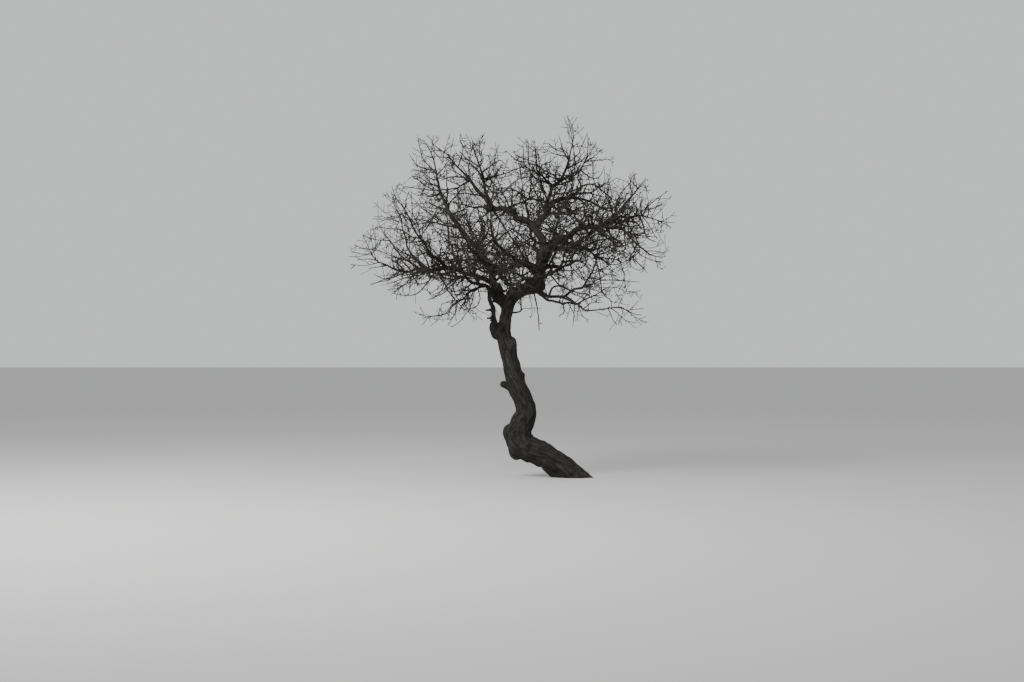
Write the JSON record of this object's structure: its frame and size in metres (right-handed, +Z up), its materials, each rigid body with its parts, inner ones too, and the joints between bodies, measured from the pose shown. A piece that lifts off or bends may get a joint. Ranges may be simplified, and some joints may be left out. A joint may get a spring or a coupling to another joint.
{
  "type": "dead tree",
  "caption": "Old bare fruit tree: a thick trunk that leans and doubles back from its foot, a wide low crown of crooked boughs and fine leafless twigs.",
  "frame": {"origin": "middle of the flat cut under the trunk, at ground level", "axes": "+Z up, +Y the way the picture looks, +X to the right; the trunk leans towards -X before it rises"},
  "size_m": [4.7565, 4.6617, 5.2168],
  "materials": {
    "trunk_bark": "weathered, fissured grey-brown bark, matt, with darker damp patches low down",
    "bough_bark": "rough dark bark with ridges along the limb, matt",
    "twig_bark": "thin dark bark of dead twigs, matt"
  },
  "bodies": {
    "root": {"trunk": "trunk_bark", "bough_back_high": "bough_bark", "bough_back_left": "bough_bark", "bough_back_low": "bough_bark", "bough_back_right_low": "bough_bark", "bough_centre_far": "bough_bark", "bough_centre_near": "bough_bark", "bough_front_high": "bough_bark", "bough_front_left": "bough_bark", "bough_front_low": "bough_bark", "bough_leader": "bough_bark", "bough_left_droop": "bough_bark", "bough_left_level": "bough_bark", "bough_left_main": "bough_bark", "bough_left_prop": "bough_bark", "bough_left_riser_far": "bough_bark", "bough_left_riser_mid": "bough_bark", "bough_left_riser_near": "bough_bark", "bough_left_stub": "bough_bark", "bough_right_droop": "bough_bark", "bough_right_far": "bough_bark", "bough_right_level": "bough_bark", "bough_right_low": "bough_bark", "bough_right_low_far": "bough_bark", "bough_right_low_out": "bough_bark", "bough_right_main": "bough_bark", "bough_right_stub": "bough_bark", "bough_right_upper": "bough_bark", "bough_top_centre": "bough_bark", "bough_top_left": "bough_bark", "bough_top_right": "bough_bark", "bough_top_right_up": "bough_bark", "twigs_back_high": "twig_bark", "twigs_back_left": "twig_bark", "twigs_back_low": "twig_bark", "twigs_back_right_low": "twig_bark", "twigs_centre_far": "twig_bark", "twigs_centre_near": "twig_bark", "twigs_front_high": "twig_bark", "twigs_front_left": "twig_bark", "twigs_front_low": "twig_bark", "twigs_leader": "twig_bark", "twigs_left_droop": "twig_bark", "twigs_left_level": "twig_bark", "twigs_left_main": "twig_bark", "twigs_left_prop": "twig_bark", "twigs_left_riser_far": "twig_bark", "twigs_left_riser_mid": "twig_bark", "twigs_left_riser_near": "twig_bark", "twigs_right_droop": "twig_bark", "twigs_right_far": "twig_bark", "twigs_right_level": "twig_bark", "twigs_right_low": "twig_bark", "twigs_right_low_far": "twig_bark", "twigs_right_low_out": "twig_bark", "twigs_right_upper": "twig_bark", "twigs_top_centre": "twig_bark", "twigs_top_left": "twig_bark", "twigs_top_right": "twig_bark", "twigs_top_right_up": "twig_bark"}
  },
  "joints": []
}
